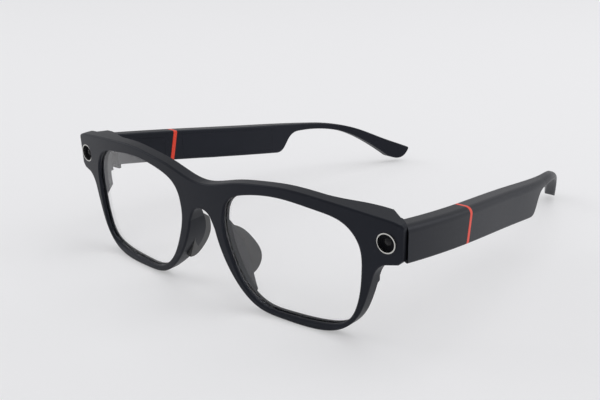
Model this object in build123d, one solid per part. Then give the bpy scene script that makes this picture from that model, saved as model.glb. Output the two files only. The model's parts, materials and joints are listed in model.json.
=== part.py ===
from build123d import *
import os
from math import cos, sin, radians, hypot

# Smart glasses, millimetres. They are modelled with the bridge's front at the origin, +Z up,
# the lenses facing -Y and the temples running towards +Y. Left is the wearer's left, at +X.
# place() moves every finished piece so that the origin is the bottom centre of the whole box.

# ---- driving dimensions ----
FRONT_RADIUS = 283.5     # wrap of the front, seen from above
FRONT_TILT = 2.95        # the brow leans forward of the rims' bottoms, degrees
RIM_DEPTH = 4.0          # front to back of the rims
LENS_THICKNESS = 2.0
LENS_DEPTH = 1.2         # the lens's front face behind the rim's front
LENS_GROOVE = 0.8        # how far the lens reaches into the rim
LENS_PLAY = 0.05
CAMERA_X = 67.3          # each camera from the middle
CAMERA_RING_R = 3.15
CAMERA_WELL_R = 2.78
CAMERA_TURN = 6          # the cameras look this far outwards, degrees
CAMERA_SEAT = 1.1        # depth of the ring's pocket
FACE_EDGE_R = 0.6        # rounding of the front's face edges
TEMPLE_THICKNESS = 6.2
WALL = 1.1               # shell walls of the temple
SHADOW_GAP = 0.3         # gap between pieces of different bodies
SNUG = 0.05              # gap between pieces of one body
FOLD_X = 63.2            # hinge pin
FOLD_Y = 18.4
PIN_R = 0.7
KNUCKLE_R = 1.7
RING_Y = 46.0            # the orange seal's place along the temple
RING_WIDTH = 1.55
RING_LEAN = 11           # the seal's plane leans back at its top, degrees
PLUG_WIDTH = 2.6
PLUG_HEIGHT = 7.4
PLUG_LENGTH = 8.0
SHOULDER_R = 2.3         # rounding of the temple's upper outer edge
EDGE_R = 0.7
SLOPE = 8.7              # the temples run down to the back, degrees
CONVERGE = 4.6           # and inwards, near the seal, degrees

# Right-hand half outline of the front, seen from the front: (x, z)
BROW_TOP = [(0, 5.8), (6, 6.6), (14, 8.7), (24, 10.2), (35, 10.9), (46, 10.1), (58, 8.6), (67, 7.2), (71.1, 6.2)]
ENDPIECE_CORNER = [(71.1, 6.2), (72, 5.7), (72.35, 4.8)]
RIM_OUTSIDE = [(66.6, -7.1), (63.9, -9.4), (62.4, -13.5), (60.6, -19.5), (57.3, -26.5), (51.5, -31.4),
               (43.5, -33.2), (32, -33), (22, -31.5), (16.4, -27.9), (11.8, -22.6), (8, -15.8), (5.6, -8.6)]
NOSE_ARCH = [(5.6, -8.6), (3.3, -4.4), (0, -3.1)]
OPENING = [(10.1, -2), (13.2, 3.2), (20, 5.9), (32, 7.3), (45, 6), (54.5, 3.2), (58.6, -2.2), (59.3, -10.5),
           (57.8, -21), (54.3, -27.6), (45.5, -30.5), (33, -30.9), (24, -30), (17.2, -25.4), (12.2, -16.8),
           (9.7, -8)]
BRIDGE_TANGENT = (1, 0)

# Temple from above: (x, y) of the outer and inner faces
OUTER_FACE = [(72.9, 8), (70.4, 45), (65.2, 82), (62.1, 104), (57.6, 122), (51.1, 138), (44.8, 150), (37.5, 163)]
INNER_FACE = [(66.7, 8), (64.2, 45), (59, 82), (56.6, 104), (53.2, 122), (46.9, 138), (40.4, 150), (33, 163)]
# Temple from the side: (y, z)
TOP_LINE = [(8, 6.5), (120, -10.3)]
TOP_HOOK = [(120, -10.3), (129, -12.2), (138, -15.2), (150, -21.4), (160.4, -26.6)]
TAIL_END = [(160.4, -26.6), (157, -31), (152, -29.8)]
UNDER_HOOK = [(152, -29.8), (142.7, -22.1), (131.5, -15.7), (120, -12.8), (110, -11.9)]
BAY_REAR = [(110, -11.9), (105.6, -13.2), (102.6, -16.9), (97.6, -19.1)]
UNDER_LINE = [(97.6, -19.1), (8, -4.9)]
# The mitre between the endpiece and the temple, and the plane where the tip's sleeve begins
MITRE = Plane(origin=(68.4, 13.3, 0), x_dir=(0, 0, 1), z_dir=(0.495, 0.869, 0))
TIP_START = Plane(origin=(57.7, 112, -10.5), z_dir=(-0.16, 0.975, -0.13))
# The housing behind the brow, from above, and where the hinge is screwed to it
HOUSING_BACK = [(14, 5.2), (20, 5.7), (30, 6.5), (40, 7.9), (50, 10.4), (57, 13.6), (64, 15.9)]
LOBE_SIDE = [(64.4, 9.6), (55.6, 20.6), (80, 20.6), (80, 9.6)]
LOBE_TOP = -6.2
HINGE_SEAT_Y = 14.6
HINGE_Z = -0.8
KNUCKLES = ((-4.6, -2.2), (0.6, 3))
SCREW_HEIGHTS = (-3.1, 1.5)
# The seal between the temple's block and its battery section
RING_X = 67.1
RING_Z = -4.85
# The hollow of the battery section, with the speaker's grille and the button in its floor
BAY_START = 50.5
BAY_END = 95
GRILLE_START = 84
GRILLE_END = 92
GRILLE_NEAR = 1.7        # the grille's edges, from the temple's outer face
GRILLE_FAR = 4.5
GRILLE_HOLE_R = 0.3
GRILLE_PITCH = 1.1
BUTTON_Y = 66
BUTTON_LENGTH = 7
BUTTON_WIDTH = 2.4
BUTTON_TRAVEL = 0.5
CORE_WIRE_ROUTE = [(60.6, 97, -12.4), (59.3, 105, -10.4), (57.7, 112, -10.6), (55.5, 121, -11.6),
                   (52.3, 130, -13.7), (48.8, 138.5, -17.3), (45.4, 145, -21)]
CORE_WIRE_R = 0.55
# A nose pad seen square to its face, (back, up) from its middle, and its plane
PAD_CURVE = [(0, 8.4), (5, 7.7), (8, 3.9), (6.9, -1.9), (3.3, -7.2), (0, -8.9)]
PAD_SEAT = Plane(origin=(9.7, 6.9, -16.6), x_dir=(0.219, 0.969, 0.108), z_dir=(-0.91, 0.243, -0.337))
PAD_THICKNESS = 1.4


def prism(curves, plane, length):
    """A straight solid with the closed outline `curves`, drawn on `plane`."""
    return extrude(plane * make_face(curves), amount=length)


def front_prism(curves):
    return prism(curves, Plane.XZ, -70)


def wrap_y(x, depth):
    """How far back the front's curve lies at `x`, at some depth behind its face."""
    return FRONT_RADIUS - ((FRONT_RADIUS - depth) ** 2 - x ** 2) ** 0.5


def depth_band(near, far):
    """The space between two depths behind the curved front surface."""
    reach = 82
    near_arc = ThreePointArc((-reach, wrap_y(reach, near)), (0, near), (reach, wrap_y(reach, near)))
    far_arc = ThreePointArc((-reach, wrap_y(reach, far)), (0, far), (reach, wrap_y(reach, far)))
    ends = [Line(near_arc @ side, far_arc @ side) for side in (0, 1)]
    return plan_prism([near_arc, far_arc] + ends)


def tilted(solid):
    return Rot(FRONT_TILT, 0, 0) * solid


def largest(shape):
    return shape.solids().sort_by(SortBy.VOLUME)[-1]


def mirrored(solid):
    return mirror(solid, about=Plane.YZ)


def front_outline():
    brow = Spline(*BROW_TOP, tangents=[BRIDGE_TANGENT, (4, -1.3)])
    shoulder = ThreePointArc(*ENDPIECE_CORNER)
    outer_edge = Line(ENDPIECE_CORNER[-1], (72.1, -4.9))
    corner = Line((72.1, -4.9), (70.6, -6.4))
    ledge = Line((70.6, -6.4), RIM_OUTSIDE[0])
    rim = Spline(*RIM_OUTSIDE)
    arch = Spline(*NOSE_ARCH, tangents=[(-2, 4), (-1, 0)])
    middle = Line(NOSE_ARCH[-1], BROW_TOP[0])
    return [brow, shoulder, outer_edge, corner, ledge, rim, arch, middle]


def top_z(y):
    """Height of the temple's straight top edge."""
    (y0, z0), (y1, z1) = TOP_LINE
    return z0 + (z1 - z0) * (y - y0) / (y1 - y0)


def bottom_z(y):
    """Height of the temple's straight bottom edge."""
    (y1, z1), (y0, z0) = UNDER_LINE
    return z0 + (z1 - z0) * (y - y0) / (y1 - y0)


def plan_prism(curves):
    return prism(curves, Plane.XY.offset(-60), 100)


def bay(y0, y1, near, far, top_gap, bottom_gap):
    """A space inside the temple: between two lengths, and two depths behind its outer face."""
    corners = [(y0, top_z(y0) - top_gap), (y1, top_z(y1) - top_gap),
               (y1, bottom_z(y1) + bottom_gap), (y0, bottom_z(y0) + bottom_gap)]
    return between_depths(corners, near, far)


def floor_band(y0, y1, near, far, low, high):
    """A strip along the temple's underside, between two heights over it."""
    corners = [(y0, bottom_z(y0) + low), (y1, bottom_z(y1) + low),
               (y1, bottom_z(y1) + high), (y0, bottom_z(y0) + high)]
    return between_depths(corners, near, far)


def between_depths(corners, near, far):
    """The side outline `corners`, limited to two depths behind the temple's outer face."""
    side = prism([Polyline(*corners, close=True)], Plane.YZ, 100)
    near_face = [(x - near, y) for x, y in OUTER_FACE]
    far_face = [(x - far, y) for x, y in OUTER_FACE]
    return side & plan_between(near_face, far_face)


def plan_between(near_face, far_face):
    near_side = Spline(*near_face)
    far_side = Spline(*far_face)
    ends = [Line(near_face[0], far_face[0]), Line(near_face[-1], far_face[-1])]
    return plan_prism([near_side, far_side] + ends)


def temple_profile():
    top = Line(*TOP_LINE)
    hook = Spline(*TOP_HOOK, tangents=[(112, -16.8), (9, -4.6)])
    tail = Spline(*TAIL_END)
    under_hook = Spline(*UNDER_HOOK, tangents=[(-9, 8), (-12, 0.5)])
    under_line = Line(*UNDER_LINE)
    bay_rear = Spline(*BAY_REAR, tangents=[(-12, 0.5), under_line % 0])
    front = Line(UNDER_LINE[-1], TOP_LINE[0])
    return [top, hook, tail, under_hook, bay_rear, under_line, front]


def face_x(face_points, y):
    """Where a temple face lies across the head at one length."""
    for (x0, y0), (x1, y1) in zip(face_points, face_points[1:]):
        if y <= y1:
            break
    return x0 + (x1 - x0) * (y - y0) / (y1 - y0)


def temple_bar():
    """The whole outer form of one temple, from the endpiece to the tip."""
    bar = prism(temple_profile(), Plane.YZ, 100) & plan_between(OUTER_FACE, INNER_FACE)
    shoulder = [edge for edge in bar.edges() if edge.length > 100 and on_outer_half(edge)]
    bar = fillet(shoulder, SHOULDER_R)
    soft = [edge for edge in bar.edges() if edge.length > 10 and on_soft_line(edge)]
    return fillet(soft, EDGE_R)


def on_outer_half(edge):
    centre = edge.center()
    return centre.X > (face_x(OUTER_FACE, centre.Y) + face_x(INNER_FACE, centre.Y)) / 2


def on_soft_line(edge):
    """The long edges other than the rounded shoulder's own."""
    centre = edge.center()
    below_shoulder = centre.Z < top_z(centre.Y) - 5
    return edge.length > 12.5 and (below_shoulder or not on_outer_half(edge)) and centre.Y < 110


AXIS = Vector(-sin(radians(CONVERGE)), cos(radians(SLOPE)), -sin(radians(SLOPE))).normalized()
SEAL_AXIS = Vector(-sin(radians(CONVERGE)), cos(radians(RING_LEAN)), -sin(radians(RING_LEAN)))
PLUG_PLANE = Plane(origin=(RING_X, RING_Y, RING_Z), x_dir=(1, sin(radians(CONVERGE)), 0), z_dir=AXIS)
SEAL_FRONT = Plane(origin=(RING_X, RING_Y, RING_Z), z_dir=SEAL_AXIS)
SEAL_BACK = SEAL_FRONT.offset(RING_WIDTH)
BLOCK_END = SEAL_FRONT.offset(-0.15)


def behind(solid, plane):
    return split(solid, bisect_by=plane, keep=Keep.TOP)


def ahead(solid, plane):
    return split(solid, bisect_by=plane, keep=Keep.BOTTOM)


def plug_box(width, height, start, end):
    """A block along the plug's own axis, from `start` to `end` past the seal."""
    block = Box(width, height, end - start, align=(Align.CENTER, Align.CENTER, Align.MIN))
    return PLUG_PLANE * Pos(0, 0, start) * block


# ---- front ----
def opening(growth):
    """The lens opening, grown all round, as a straight solid through the front."""
    grown = []
    for before, (x, z), after in zip(OPENING[-1:] + OPENING[:-1], OPENING, OPENING[1:] + OPENING[:1]):
        run_x = after[0] - before[0]
        run_z = after[1] - before[1]
        run = hypot(run_x, run_z)
        grown.append((x - growth * run_z / run, z + growth * run_x / run))
    return front_prism([Spline(*grown, periodic=True)])


def brow_strip(top_gap, bottom_gap, reach):
    """A ribbon that follows the brow from side to side."""
    points = [(x, z) for x, z in BROW_TOP if x <= reach]
    upper = [(x, z - top_gap) for x, z in points]
    lower = [(x, z - bottom_gap) for x, z in points]
    half = front_prism([Spline(*upper, tangents=[BRIDGE_TANGENT, (5, -0.6)]),
                        Spline(*lower, tangents=[BRIDGE_TANGENT, (5, -0.6)]),
                        Line(upper[0], lower[0]), Line(upper[-1], lower[-1])])
    return half + mirrored(half)


def camera_plane():
    """Touches the front's surface at the camera and faces the way the camera looks."""
    out = Vector(sin(radians(CAMERA_TURN)), -cos(radians(CAMERA_TURN)), 0)
    return Plane(origin=(CAMERA_X, wrap_y(CAMERA_X, 0), 0), x_dir=(-out.Y, out.X, 0), z_dir=out)


def camera_disc(radius, near, far):
    """A round body between two depths behind the camera's place on the front."""
    disc = Cylinder(radius, far - near, align=(Align.CENTER, Align.CENTER, Align.MAX))
    return camera_plane() * Pos(0, 0, -near) * disc


def nose_wing():
    """The rim beside the nose is deeper, with its back swept in an arc."""
    side = [ThreePointArc((3, -4), (8.4, -15), (4, -29)), Line((4, -29), (3, -4))]
    strip = front_prism(front_outline()) & prism(side, Plane.YZ, 19)
    return strip - opening(0)


def front_body():
    """The solid front with its two openings and softened face edges, before any other cut."""
    half = front_prism(front_outline()) & depth_band(0, RIM_DEPTH)
    body = half + mirrored(half) - opening(0) - mirrored(opening(0))
    return fillet([edge for edge in body.edges() if on_face(edge)], FACE_EDGE_R)


def on_face(edge):
    """True for an edge that follows the front's curved face."""
    points = [edge @ part for part in (0, 0.3, 0.7, 1)]
    off_middle = any(abs(point.X) > 0.01 for point in points)
    return off_middle and all(abs(point.Y - wrap_y(point.X, 0)) < 0.05 for point in points)


def front_cuts():
    """The lens groove and the camera's stepped well, on one side."""
    groove_band = depth_band(LENS_DEPTH - LENS_PLAY, LENS_DEPTH + LENS_THICKNESS + LENS_PLAY)
    groove = opening(LENS_GROOVE + LENS_PLAY) & groove_band
    well = camera_disc(CAMERA_WELL_R, -2, 6) + camera_disc(CAMERA_RING_R + 0.02, -2, CAMERA_SEAT + SNUG)
    return groove, well + camera_disc(CAMERA_WELL_R + 0.4, 2.0, 8)


def front_frame():
    frame = front_body()
    wing = nose_wing()
    frame = frame + wing + mirrored(wing)
    for cut in front_cuts():
        frame = frame - cut - mirrored(cut)
    frame = ahead(tilted(frame), MITRE)
    frame = ahead(mirrored(frame), MITRE)
    return frame - tilted(brow_strip(1.1, 2.5, 58) & depth_band(1.9, 2.7))


def lens():
    band = depth_band(LENS_DEPTH, LENS_DEPTH + LENS_THICKNESS)
    return tilted(opening(LENS_GROOVE) & band)


def brow_cable():
    return tilted(brow_strip(1.2, 2.4, 58) & depth_band(2.1, 2.4))


def brow_cover():
    """The housing behind the brow, which deepens towards the endpiece and holds the camera."""
    back = Spline(*HOUSING_BACK, tangents=[(6, 0.3), (7, 1.4)])
    plan = plan_prism([back, Polyline(HOUSING_BACK[-1], (80, 20), (80, -5), (14, -5), HOUSING_BACK[0])])
    side = prism([Polyline((-5, 20), (22, 20), (22, -4), (11, -15), (-5, -15), close=True)], Plane.YZ, 100)
    lowered = Pos(0, 0, -0.7) * front_prism(front_outline())
    cover = front_prism(front_outline()) & lowered & depth_band(RIM_DEPTH + SNUG, 40)
    cover = cover - opening(1.2)
    cover = ahead(tilted(cover & plan & side), MITRE)
    cover = cover - tilted(camera_disc(3.0, 0, 5.2))
    cover = cover - prism([Polyline(*LOBE_SIDE, close=True)], Plane.XY.offset(LOBE_TOP), -40)
    seat = Pos(60, HINGE_SEAT_Y + 5, HINGE_Z) * Box(20, 10, 8)
    cover = cover - seat
    for z in SCREW_HEIGHTS:
        cover = cover - hinge_screw(z, SNUG)
    return cover


def camera_ring():
    return tilted(camera_disc(CAMERA_RING_R, -0.15, CAMERA_SEAT) - camera_disc(CAMERA_WELL_R, -1, 2))


def camera_window():
    return tilted(camera_disc(CAMERA_WELL_R - 0.02, CAMERA_SEAT + 0.1, 1.8))


def camera_module():
    barrel = camera_disc(2.3, 2.3, 4.9) - camera_disc(1.1, 2.0, 2.7)
    return tilted(barrel + camera_disc(1.0, 2.5, 3.0))


def nose_pad(frame):
    """A D-shaped pad, cut away where the rim's wing backs it."""
    top, bottom = PAD_CURVE[0], PAD_CURVE[-1]
    outline = [Spline(*PAD_CURVE), Polyline(bottom, (-2, -8), (-2, 7.6), top)]
    pad = extrude(PAD_SEAT.offset(-PAD_THICKNESS / 2) * make_face(outline), amount=PAD_THICKNESS)
    return largest(pad - frame)


# ---- hinge ----
def barrel(radius, z0, z1):
    return Pos(FOLD_X, FOLD_Y, z0) * Cylinder(radius, z1 - z0, align=(Align.CENTER, Align.CENTER, Align.MIN))


def hinge_front_leaf():
    """Screwed to the endpiece, with the upper and lower knuckles."""
    leaf = Pos(59.8, HINGE_SEAT_Y + 0.55, HINGE_Z) * Box(6.6, 1.0, 7.6)
    for z0, z1 in KNUCKLES:
        arm = Pos(FOLD_X - 0.9, (HINGE_SEAT_Y + FOLD_Y) / 2 + 0.1, (z0 + z1) / 2) * Box(1.6, 3.4, z1 - z0)
        leaf = leaf + arm + barrel(KNUCKLE_R, z0, z1)
    leaf = leaf - barrel(PIN_R + 0.02, -7, 5)
    for z in SCREW_HEIGHTS:
        leaf = leaf - hinge_screw(z, SNUG)
    return leaf


def hinge_screw(z, growth):
    shank = Cylinder(0.5 + growth, 2.6, align=(Align.CENTER, Align.CENTER, Align.MIN))
    head = Pos(0, 0, -0.55) * Cylinder(0.95 + growth, 0.55 + growth, align=(Align.CENTER, Align.CENTER, Align.MIN))
    return Pos(57.9, HINGE_SEAT_Y + 1.06, z) * Rot(90, 0, 0) * (shank + head)


def hinge_screws():
    slots = [Pos(57.9, HINGE_SEAT_Y + 1.7, z) * Box(1.2, 0.3, 0.3) for z in SCREW_HEIGHTS]
    upper, lower = [hinge_screw(z, 0) - slot for z, slot in zip(SCREW_HEIGHTS, slots)]
    return upper + lower


def hinge_pin():
    bottom, top = KNUCKLES[0][0], KNUCKLES[-1][-1]
    return barrel(PIN_R, bottom - 0.1, top + 0.1) + barrel(1.2, top + 0.1, top + 0.6)


def hinge_temple_leaf():
    """The middle knuckle, with an arm into the temple block and a plate along its inner wall."""
    arm = Pos(65.3, 19.5, -0.8) * Box(4.4, 1.6, 2.5)
    plate = Pos(66.9, 24, -0.8) * Box(0.9, 11, 6)
    leaf = barrel(KNUCKLE_R, -2.05, 0.45) + arm + plate
    return leaf - barrel(PIN_R + 0.05, -7, 5)


# ---- temple ----
def hinge_block(bar):
    block = behind(ahead(bar, BLOCK_END), MITRE.offset(SHADOW_GAP))
    block = block - bay(19, 43.5, WALL, TEMPLE_THICKNESS - WALL, 1.3, 1.5)
    block = block - bay(31, 42.5, TEMPLE_THICKNESS - WALL - 0.2, 12, 2.3, 2.5)
    block = block - plug_box(PLUG_WIDTH + 1.3, PLUG_HEIGHT + 1.3, -9, 2)
    block = block - Pos(65.3, 19.5, -0.8) * Box(5, 1.8, 2.7)
    return block - Pos(66.9, 24, -0.8) * Box(1.0, 11.2, 6.2) - microphone_port()


def block_cover(bar):
    cover = bar & bay(31 + SNUG, 42.5 - SNUG, TEMPLE_THICKNESS - WALL, 12, 2.3 + SNUG, 2.5 + SNUG)
    return cover - plug_box(PLUG_WIDTH + 1.4, PLUG_HEIGHT + 1.4, -9.1, 2)


def microphone_port():
    return Pos(69.4, 33, bottom_z(33) + 1) * Cylinder(0.35, 6)


def microphone():
    return Pos(69, 33, bottom_z(33) + 2.6) * Rot(-SLOPE, 0, 0) * Box(2.4, 3.4, 1)


def socket():
    shell = plug_box(PLUG_WIDTH + 1.2, PLUG_HEIGHT + 1.2, -PLUG_LENGTH - 0.9, -0.5)
    return shell - plug_box(PLUG_WIDTH + 0.2, PLUG_HEIGHT + 0.2, -PLUG_LENGTH - 0.2, 2)


def plug():
    return plug_box(PLUG_WIDTH, PLUG_HEIGHT, -PLUG_LENGTH, 3.4)


def seal_ring(bar):
    ring = ahead(behind(bar, SEAL_FRONT), SEAL_BACK)
    return ring - plug_box(PLUG_WIDTH + 0.1, PLUG_HEIGHT + 0.1, -3, 4)


def temple_shell(bar, button_hole):
    shell = ahead(behind(bar, SEAL_BACK.offset(0.02)), TIP_START.offset(-0.03))
    shell = shell - bay(49.5, 96, WALL, TEMPLE_THICKNESS - WALL, 2.0, 2.0)
    shell = shell - bay(BAY_START, BAY_END, TEMPLE_THICKNESS - WALL - 0.02, 12, 1.3, 1.3)
    shell = shell - plug_box(PLUG_WIDTH + 0.1, PLUG_HEIGHT + 0.1, -3, 4)
    shell = shell - core_wire() - floor_band(GRILLE_START, GRILLE_END, GRILLE_NEAR, GRILLE_FAR, -1, 2.5)
    return shell - button_hole if button_hole else shell


def temple_cover(bar):
    return bar & bay(BAY_START + SNUG, BAY_END - SNUG, TEMPLE_THICKNESS - WALL, 12, 1.3 + SNUG, 1.3 + SNUG)


def speaker_grille():
    """A pierced plate let into the floor under the speaker."""
    plate = floor_band(GRILLE_START + SNUG, GRILLE_END - SNUG, GRILLE_NEAR + SNUG, GRILLE_FAR - SNUG, 0.4, 1)
    holes = GridLocations(GRILLE_PITCH, GRILLE_PITCH, 2, 6)
    y = (GRILLE_START + GRILLE_END) / 2
    x = face_x(OUTER_FACE, y) - (GRILLE_NEAR + GRILLE_FAR) / 2
    middle = Pos(x, y, bottom_z(y)) * Rot(-SLOPE, 0, 8)
    for place in holes:
        plate = plate - middle * place * Cylinder(GRILLE_HOLE_R, 6)
    return plate


def battery():
    return bay(53, 78, 1.3, 3.9, 2.6, 3.3)


def circuit_board():
    return bay(51.2, 80, 4.1, 4.8, 2.4, 3.3)


def speaker():
    return bay(82, 92, 1.4, 4.7, 3, 3)


def button_place(lift):
    """On the temple's underside, square to it."""
    x = face_x(OUTER_FACE, BUTTON_Y) - TEMPLE_THICKNESS / 2
    return Pos(x, BUTTON_Y, bottom_z(BUTTON_Y)) * Rot(-SLOPE, 0, 9.3) * Pos(0, 0, lift)


def button_well():
    return button_place(0) * Box(BUTTON_WIDTH + 0.3, BUTTON_LENGTH + 0.3, 6)


def power_button():
    """A rounded bar that stands a little out of the underside, with a foot over its switch."""
    cap = Box(BUTTON_WIDTH, BUTTON_LENGTH, 1.4)
    cap = fillet(cap.edges().filter_by(Axis.Z), 0.9)
    foot = Pos(0, 0, 0.9) * Cylinder(0.6, 0.5)
    return button_place(0.35) * (cap + foot)


def button_switch():
    """The dome switch on the board's edge that the button presses."""
    return button_place(0.35 + 0.7 + 0.9 + BUTTON_TRAVEL + 0.05) * Box(2.2, 3, 0.9)


def core_wire():
    """The springy wire inside the ear hook, which lets it be bent to fit."""
    path = FilletPolyline(*CORE_WIRE_ROUTE, radius=12)
    section = Plane(origin=CORE_WIRE_ROUTE[0], z_dir=path % 0) * Circle(CORE_WIRE_R)
    return sweep(section, path=path)


def tip_sleeve(bar):
    return behind(bar, TIP_START) - core_wire()


# ---- assembly ----
def left_pieces(frame):
    """Every piece of the wearer's left side, by name; the right side mirrors them."""
    bar = temple_bar()
    return {
        "brow_cover": brow_cover(), "lens": lens(), "nose_pad": nose_pad(frame),
        "camera_ring": camera_ring(), "camera_window": camera_window(), "camera_module": camera_module(),
        "hinge_front_leaf": hinge_front_leaf(), "hinge_screws": hinge_screws(), "hinge_pin": hinge_pin(),
        "hinge_temple_leaf": hinge_temple_leaf(), "hinge_block": hinge_block(bar),
        "block_cover": block_cover(bar), "microphone": microphone(), "socket": socket(), "plug": plug(),
        "seal_ring": seal_ring(bar), "temple_shell": temple_shell(bar, None), "temple_cover": temple_cover(bar),
        "speaker_grille": speaker_grille(), "speaker": speaker(), "battery": battery(),
        "circuit_board": circuit_board(), "tip_sleeve": tip_sleeve(bar), "core_wire": core_wire(),
    }


def all_pieces():
    frame = front_frame()
    pieces = {"front_frame": frame, "brow_cable": brow_cable()}
    for name, piece in left_pieces(frame).items():
        pieces[name + "_left"] = piece
        pieces[name + "_right"] = mirrored(piece)
    pieces["temple_shell_right"] = mirrored(temple_shell(temple_bar(), button_well()))
    pieces["power_button"] = mirrored(power_button())
    pieces["button_switch"] = mirrored(button_switch())
    return pieces


def place(pieces):
    """Move everything so that the origin is the bottom centre of the whole box."""
    whole = Compound(children=[Compound(piece.solids()) for piece in pieces.values()]).bounding_box()
    shift = Pos(0, -(whole.min.Y + whole.max.Y) / 2, -whole.min.Z)
    print("moved by", shift.position)
    return {name: shift * piece for name, piece in pieces.items()}


os.makedirs("parts", exist_ok=True)
for node, piece in place(all_pieces()).items():
    export_step(piece, f"parts/{node}.step")
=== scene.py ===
import json
import math

import bmesh
import bpy
from mathutils import Matrix, Vector


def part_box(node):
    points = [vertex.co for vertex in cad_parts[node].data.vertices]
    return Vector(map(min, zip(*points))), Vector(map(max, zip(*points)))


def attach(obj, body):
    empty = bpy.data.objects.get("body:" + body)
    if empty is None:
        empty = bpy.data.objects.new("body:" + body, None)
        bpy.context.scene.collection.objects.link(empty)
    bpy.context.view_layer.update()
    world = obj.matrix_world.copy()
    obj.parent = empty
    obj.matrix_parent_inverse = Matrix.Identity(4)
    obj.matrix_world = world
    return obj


MM = 0.001

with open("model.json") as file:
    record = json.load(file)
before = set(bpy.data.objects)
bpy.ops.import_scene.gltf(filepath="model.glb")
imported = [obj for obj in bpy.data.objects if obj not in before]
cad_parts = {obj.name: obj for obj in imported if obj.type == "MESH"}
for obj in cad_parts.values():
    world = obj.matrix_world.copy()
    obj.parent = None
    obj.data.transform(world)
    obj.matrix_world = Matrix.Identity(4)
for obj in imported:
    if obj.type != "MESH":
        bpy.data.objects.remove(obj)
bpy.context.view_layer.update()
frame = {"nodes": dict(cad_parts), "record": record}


# ---- small helpers ----
def linear(hex_colour):
    """An sRGB hex colour as Blender's linear RGBA."""
    channels = [int(hex_colour[i:i + 2], 16) / 255 for i in (1, 3, 5)]
    curve = [c / 12.92 if c <= 0.04045 else ((c + 0.055) / 1.055) ** 2.4 for c in channels]
    return (*curve, 1.0)


def add_node(material, kind, links=(), **values):
    """Adds one shader node. values set its properties or inputs; links are (input, node, output)."""
    node = material.node_tree.nodes.new(kind)
    for name, value in values.items():
        if hasattr(node, name):
            setattr(node, name, value)
        else:
            node.inputs[name.replace("_", " ")].default_value = value
    for socket, source, output in links:
        material.node_tree.links.new(source.outputs[output], node.inputs[socket])
    return node


def new_material(name):
    material = bpy.data.materials.new(name)
    material.use_nodes = True
    return material, material.node_tree.nodes["Principled BSDF"]


def link(material, source, output, target, socket):
    material.node_tree.links.new(source.outputs[output], target.inputs[socket])


# ---- materials ----
PLASTIC_CLOUD = 14 * MM       # slow drift of a plastic's tone
METAL_STREAK_DEPTH = 0.01 * MM
LENS_RIPPLE = 9 * MM
SKIN_GRAIN = 0.25 * MM        # silicone
SKIN_DEPTH = 0.02 * MM
GLASS_SMEAR = 1.5 * MM
REFRACTIVE_INDEX = 1.5        # of the plastics and the lenses


def moulded_plastic(name, colour, roughness, grain_mm, grain_depth, shine=0.27):
    """Plastic, resin or film with a fine grain. colour and roughness are ranges, shine is its reflection."""
    material, surface = new_material(name)
    place = add_node(material, "ShaderNodeTexCoord")
    grain = add_node(material, "ShaderNodeTexNoise", [("Vector", place, "Object")],
                     Scale=1 / (grain_mm * MM), Detail=3.0, Roughness=0.6)
    cloud = add_node(material, "ShaderNodeTexNoise", [("Vector", place, "Object")],
                     Scale=1 / PLASTIC_CLOUD, Detail=2.0)
    tone = add_node(material, "ShaderNodeValToRGB", [("Fac", cloud, "Fac")])
    for element, position, shade in zip(tone.color_ramp.elements, (0.3, 0.7), colour):
        element.position = position
        element.color = linear(shade)
    gloss = add_node(material, "ShaderNodeMapRange", [("Value", grain, "Fac")], From_Min=0.3, From_Max=0.7,
                     To_Min=roughness[0], To_Max=roughness[1])
    bump = add_node(material, "ShaderNodeBump", [("Height", grain, "Fac")], Strength=0.35,
                    Distance=grain_depth * MM)
    link(material, tone, "Color", surface, "Base Color")
    link(material, gloss, "Result", surface, "Roughness")
    link(material, bump, "Normal", surface, "Normal")
    surface.inputs["IOR"].default_value = REFRACTIVE_INDEX
    surface.inputs["Specular IOR Level"].default_value = shine
    surface.inputs["Specular Tint"].default_value = linear("#E4EAFF")
    return material


def anodised_metal(name, colour, roughness, streak_mm):
    """Metal with a fine uneven gloss. roughness is a range."""
    material, surface = new_material(name)
    place = add_node(material, "ShaderNodeTexCoord")
    streak = add_node(material, "ShaderNodeTexNoise", [("Vector", place, "Object")],
                      Scale=1 / (streak_mm * MM), Detail=4.0)
    gloss = add_node(material, "ShaderNodeMapRange", [("Value", streak, "Fac")],
                     To_Min=roughness[0], To_Max=roughness[1])
    bump = add_node(material, "ShaderNodeBump", [("Height", streak, "Fac")], Strength=0.2,
                    Distance=METAL_STREAK_DEPTH)
    link(material, gloss, "Result", surface, "Roughness")
    link(material, bump, "Normal", surface, "Normal")
    surface.inputs["Base Color"].default_value = linear(colour)
    surface.inputs["Metallic"].default_value = 1.0
    return material


def coated_lens():
    """CR-39 lens with a hard coat: clear, with a crisp reflection."""
    material, surface = new_material("cr39_hard_coated")
    place = add_node(material, "ShaderNodeTexCoord")
    ripple = add_node(material, "ShaderNodeTexNoise", [("Vector", place, "Object")], Scale=1 / LENS_RIPPLE)
    gloss = add_node(material, "ShaderNodeMapRange", [("Value", ripple, "Fac")], To_Min=0.0, To_Max=0.03)
    link(material, gloss, "Result", surface, "Roughness")
    surface.inputs["Base Color"].default_value = linear("#FFFFFF")
    surface.inputs["Transmission Weight"].default_value = 1.0
    surface.inputs["IOR"].default_value = REFRACTIVE_INDEX
    return material


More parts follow.
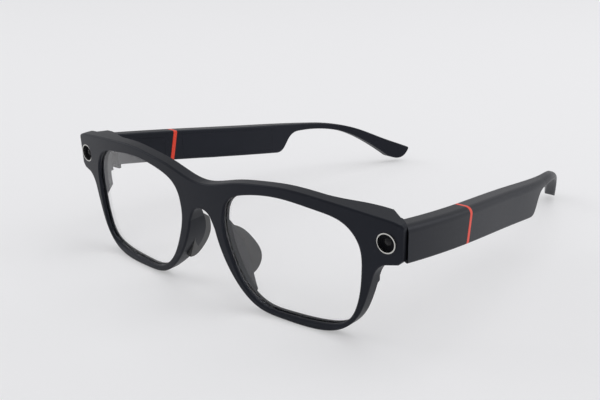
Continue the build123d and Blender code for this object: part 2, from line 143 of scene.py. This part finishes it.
def silicone(name, colour, roughness):
    """Moulded silicone: soft matte, with a faint dusty sheen."""
    material, surface = new_material(name)
    place = add_node(material, "ShaderNodeTexCoord")
    skin = add_node(material, "ShaderNodeTexNoise", [("Vector", place, "Object")],
                    Scale=1 / SKIN_GRAIN, Detail=3.0)
    gloss = add_node(material, "ShaderNodeMapRange", [("Value", skin, "Fac")],
                     To_Min=roughness - 0.06, To_Max=roughness + 0.06)
    bump = add_node(material, "ShaderNodeBump", [("Height", skin, "Fac")], Strength=0.25,
                    Distance=SKIN_DEPTH)
    link(material, gloss, "Result", surface, "Roughness")
    link(material, bump, "Normal", surface, "Normal")
    surface.inputs["Base Color"].default_value = linear(colour)
    surface.inputs["Sheen Weight"].default_value = 0.08
    return material


def dark_glass():
    """Black-printed cover glass over the camera: near black with a sharp reflection."""
    material, surface = new_material("printed_cover_glass")
    place = add_node(material, "ShaderNodeTexCoord")
    smear = add_node(material, "ShaderNodeTexNoise", [("Vector", place, "Object")], Scale=1 / GLASS_SMEAR)
    gloss = add_node(material, "ShaderNodeMapRange", [("Value", smear, "Fac")], To_Min=0.03, To_Max=0.09)
    link(material, gloss, "Result", surface, "Roughness")
    surface.inputs["Base Color"].default_value = linear("#08090C")
    surface.inputs["Specular IOR Level"].default_value = 0.3
    return material


FRAME_PLASTIC = moulded_plastic("pa12_matte_black", ("#0E1014", "#111318"), (0.36, 0.48), 0.22, 0.02)
TEMPLE_PLASTIC = moulded_plastic("abs_satin_black", ("#0F1117", "#13151B"), (0.3, 0.42), 0.25, 0.015)
TIP_RUBBER = moulded_plastic("tpe_soft_touch_black", ("#0F1116", "#13141A"), (0.34, 0.46), 0.3, 0.02)
PAD_SILICONE = silicone("silicone_smoke_black", "#17181B", 0.5)
SEAL_SILICONE = silicone("silicone_signal_orange", "#F03A16", 0.42)
RING_METAL = anodised_metal("anodised_aluminium_silver", "#C9C8C4", (0.18, 0.3), 0.3)
HINGE_METAL = anodised_metal("black_oxide_steel", "#2A2B2E", (0.3, 0.45), 0.2)
CONTACT_METAL = anodised_metal("stainless_steel_satin", "#B9B8B6", (0.25, 0.4), 0.2)
GRILLE_METAL = anodised_metal("black_coated_steel", "#3A3B3E", (0.4, 0.55), 0.2)
CAN_METAL = anodised_metal("nickel_silver_can", "#A9A59B", (0.3, 0.45), 0.4)
LENS_CLEAR = coated_lens()
CAMERA_GLASS = dark_glass()
BLACK_BARREL = moulded_plastic("liquid_crystal_polymer_black", ("#040405", "#060607"), (0.5, 0.65), 0.2, 0.01,
                               shine=0.12)
BATTERY_FOIL = anodised_metal("aluminium_laminate_foil", "#A7ABB0", (0.35, 0.55), 0.8)
BOARD_MASK = moulded_plastic("glass_epoxy_green_mask", ("#0E3B22", "#124A2A"), (0.25, 0.35), 0.5, 0.01)
RIBBON = moulded_plastic("polyimide_amber", ("#8A4A12", "#A05A18"), (0.3, 0.4), 0.5, 0.01)

SLOT_FINISH = {
    "frame_black": FRAME_PLASTIC, "temple_black": TEMPLE_PLASTIC, "lens_clear": LENS_CLEAR,
    "pad_black": PAD_SILICONE, "ring_metal": RING_METAL, "camera_glass": CAMERA_GLASS,
    "camera_black": BLACK_BARREL, "cable_amber": RIBBON, "hinge_steel": HINGE_METAL,
    "module_metal": CAN_METAL, "cable_dark": BLACK_BARREL, "connector_metal": CONTACT_METAL,
    "seal_orange": SEAL_SILICONE, "grille_dark": GRILLE_METAL, "battery_wrap": BATTERY_FOIL,
    "board_green": BOARD_MASK, "tip_black": TIP_RUBBER,
}


def finish_cad_nodes():
    """Every CAD node gets the finish of its slot in the record."""
    for entry in frame["record"]["subparts"]:
        node = frame["nodes"][entry["node"]]
        for material_slot in node.material_slots:
            material_slot.material = SLOT_FINISH[entry["material_slot"]]


def centre(node):
    """The middle of a CAD node's box."""
    low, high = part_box(node)
    return (Vector(low) + Vector(high)) / 2


def clear_lens_shadows():
    """The lenses cast no shadow, because a clear one hardly darkens a table."""
    for side in ("left", "right"):
        frame["nodes"][f"lens_{side}"].visible_shadow = False


finish_cad_nodes()
clear_lens_shadows()


# ---- camera optics ----
CAMERA_OUT = Vector((0.1045, -0.9932, -0.0512))   # the way the wearer's left camera looks
BAFFLE_R = 2.74 * MM
BAFFLE_DEPTH = 0.5 * MM
BAFFLE_PLACE = -0.47 * MM     # its middle, from the ring's middle outwards
BAFFLE_STEPS = 2
BAFFLE_STEP = 0.5 * MM        # width of a step
BAFFLE_DROP = 0.14 * MM       # and its depth
BAFFLE_SEGMENTS = 96
DOME_R = 1.9 * MM
DOME_PLACE = -1.96 * MM       # the centre of its sphere
DOME_BASE = -0.55 * MM
DOME_SEGMENTS = 64
FACING = 0.95                 # how nearly a face looks a given way
BAFFLE_SMOOTH_ANGLE = math.radians(30)
DOME_SMOOTH_ANGLE = math.radians(40)


def start_object(name):
    made = bpy.context.object
    made.name = name
    made.data.name = name
    return made


def select_by_normal(direction):
    """In edit mode, select only the faces that look along `direction`."""
    mesh = bmesh.from_edit_mesh(bpy.context.object.data)
    for face in mesh.faces:
        face.select_set(face.normal.dot(direction) > FACING)
    mesh.select_flush_mode()
    bmesh.update_edit_mesh(bpy.context.object.data)


def stepped_baffle(name):
    """A short black cylinder whose front steps down to the lens."""
    bpy.ops.object.select_all(action="DESELECT")
    bpy.ops.mesh.primitive_cylinder_add(vertices=BAFFLE_SEGMENTS, radius=BAFFLE_R, depth=BAFFLE_DEPTH,
                                        location=(0, 0, BAFFLE_PLACE))
    baffle = start_object(name)
    bpy.ops.object.mode_set(mode="EDIT")
    bpy.ops.mesh.select_mode(type="FACE")
    select_by_normal(Vector((0, 0, 1)))
    for _ in range(BAFFLE_STEPS):
        bpy.ops.mesh.inset(thickness=BAFFLE_STEP)
        bpy.ops.mesh.extrude_region_move(TRANSFORM_OT_translate={"value": (0, 0, -BAFFLE_DROP)})
    bpy.ops.object.mode_set(mode="OBJECT")
    bpy.ops.object.shade_smooth_by_angle(angle=BAFFLE_SMOOTH_ANGLE)
    return baffle


def domed_lens(name):
    """The cap of a small glass ball, flat behind."""
    bpy.ops.object.select_all(action="DESELECT")
    bpy.ops.mesh.primitive_uv_sphere_add(segments=DOME_SEGMENTS, ring_count=DOME_SEGMENTS, radius=DOME_R,
                                         location=(0, 0, DOME_PLACE))
    dome = start_object(name)
    bpy.ops.object.mode_set(mode="EDIT")
    bpy.ops.mesh.select_all(action="SELECT")
    bpy.ops.mesh.bisect(plane_co=(0, 0, DOME_BASE), plane_no=(0, 0, -1), use_fill=True, clear_outer=True)
    bpy.ops.object.mode_set(mode="OBJECT")
    bpy.ops.object.shade_smooth_by_angle(angle=DOME_SMOOTH_ANGLE)
    return dome


def make_camera_optics():
    """A baffle and a domed lens in each camera's well, turned to look as the well does."""
    for side, hand in (("left", 1), ("right", -1)):
        out = Vector((hand * CAMERA_OUT.x, CAMERA_OUT.y, CAMERA_OUT.z))
        turn = out.to_track_quat("Z", "Y").to_euler()
        for make, finish, slot in ((stepped_baffle, BLACK_BARREL, "camera_black"),
                                   (domed_lens, CAMERA_GLASS, "camera_glass")):
            piece = make(f"camera_{make.__name__}_{side}")
            piece.rotation_euler = turn
            piece.location = centre(f"camera_ring_{side}") + (piece.location.z * out)
            bpy.ops.object.transform_apply(location=True, rotation=True, scale=True)
            piece.data.materials.append(finish)
            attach(piece, "front")


make_camera_optics()


# ---- stage ----
CAMERA_AZIMUTH = math.radians(41.79)
CAMERA_HEIGHT_ANGLE = math.radians(19.78)
CAMERA_ROLL = math.radians(-0.66)
CAMERA_DISTANCE = 298.1 * MM
CAMERA_AIM = Vector((42.1, -8.1, 9.2)) * MM     # from midway between the two camera rings
FOCAL_LENGTH = 62.4
SENSOR_WIDTH = 36
NEAR_CLIP = 10 * MM


def make_camera():
    """Looks at the front from the wearer's left, a little from above."""
    middle = (centre("camera_ring_left") + centre("camera_ring_right")) / 2
    back = Vector((math.sin(CAMERA_AZIMUTH) * math.cos(CAMERA_HEIGHT_ANGLE),
                   -math.cos(CAMERA_AZIMUTH) * math.cos(CAMERA_HEIGHT_ANGLE),
                   math.sin(CAMERA_HEIGHT_ANGLE)))
    level = Vector((math.cos(CAMERA_AZIMUTH), math.sin(CAMERA_AZIMUTH), 0))
    up = back.cross(level)
    right = math.cos(CAMERA_ROLL) * level + math.sin(CAMERA_ROLL) * up
    up = back.cross(right)
    data = bpy.data.cameras.new("camera")
    data.lens = FOCAL_LENGTH
    data.sensor_width = SENSOR_WIDTH
    data.clip_start = NEAR_CLIP
    camera = bpy.data.objects.new("camera", data)
    bpy.context.collection.objects.link(camera)
    place = Matrix((right, up, back)).transposed().to_4x4()
    place.translation = middle + CAMERA_AIM + back * CAMERA_DISTANCE
    camera.matrix_world = place
    bpy.context.scene.camera = camera


FLOOR_SIZE = 6
FLOOR_GLOW = 0.35


def make_floor():
    """A flat pale table top, which glows a little so that shadows on it stay faint."""
    bpy.ops.object.select_all(action="DESELECT")
    bpy.ops.mesh.primitive_plane_add(size=FLOOR_SIZE)
    floor = bpy.context.object
    floor.name = "floor"
    material, surface = new_material("matte_paper_white")
    surface.inputs["Base Color"].default_value = linear("#C1C1C3")
    surface.inputs["Emission Color"].default_value = linear("#FFFFFF")
    surface.inputs["Emission Strength"].default_value = FLOOR_GLOW
    surface.inputs["Roughness"].default_value = 0.85
    floor.data.materials.append(material)


def make_softbox(name, place, aim, size, power):
    light = bpy.data.lights.new(name, "AREA")
    light.shape = "RECTANGLE"
    light.size, light.size_y = size
    light.energy = power
    lamp = bpy.data.objects.new(name, light)
    bpy.context.collection.objects.link(lamp)
    lamp.location = place
    lamp.rotation_euler = (Vector(aim) - Vector(place)).to_track_quat("-Z", "Y").to_euler()


WORLD_STRENGTH = 0.62
# Each softbox: its place, what it looks at, its width and height, all in metres, and its watts
SOFTBOXES = {
    "top_softbox": ((0.1, 0.35, 0.9), (0, 0, 0), (0.9, 0.7), 2.2),
    "left_softbox": ((-0.9, -0.42, 0.5), (0, 0, 0.02), (0.6, 0.6), 1.8),
    "rear_softbox": ((0.5, 0.85, 0.45), (0, 0, 0.02), (0.5, 0.5), 1.2),
}


def make_lights():
    world = bpy.data.worlds.new("studio")
    bpy.context.scene.world = world
    world.use_nodes = True
    background = world.node_tree.nodes["Background"]
    background.inputs["Color"].default_value = linear("#F5F5F7")
    background.inputs["Strength"].default_value = WORLD_STRENGTH
    for name, settings in SOFTBOXES.items():
        make_softbox(name, *settings)


bpy.context.scene.view_settings.view_transform = "Standard"
make_camera()
make_floor()
make_lights()
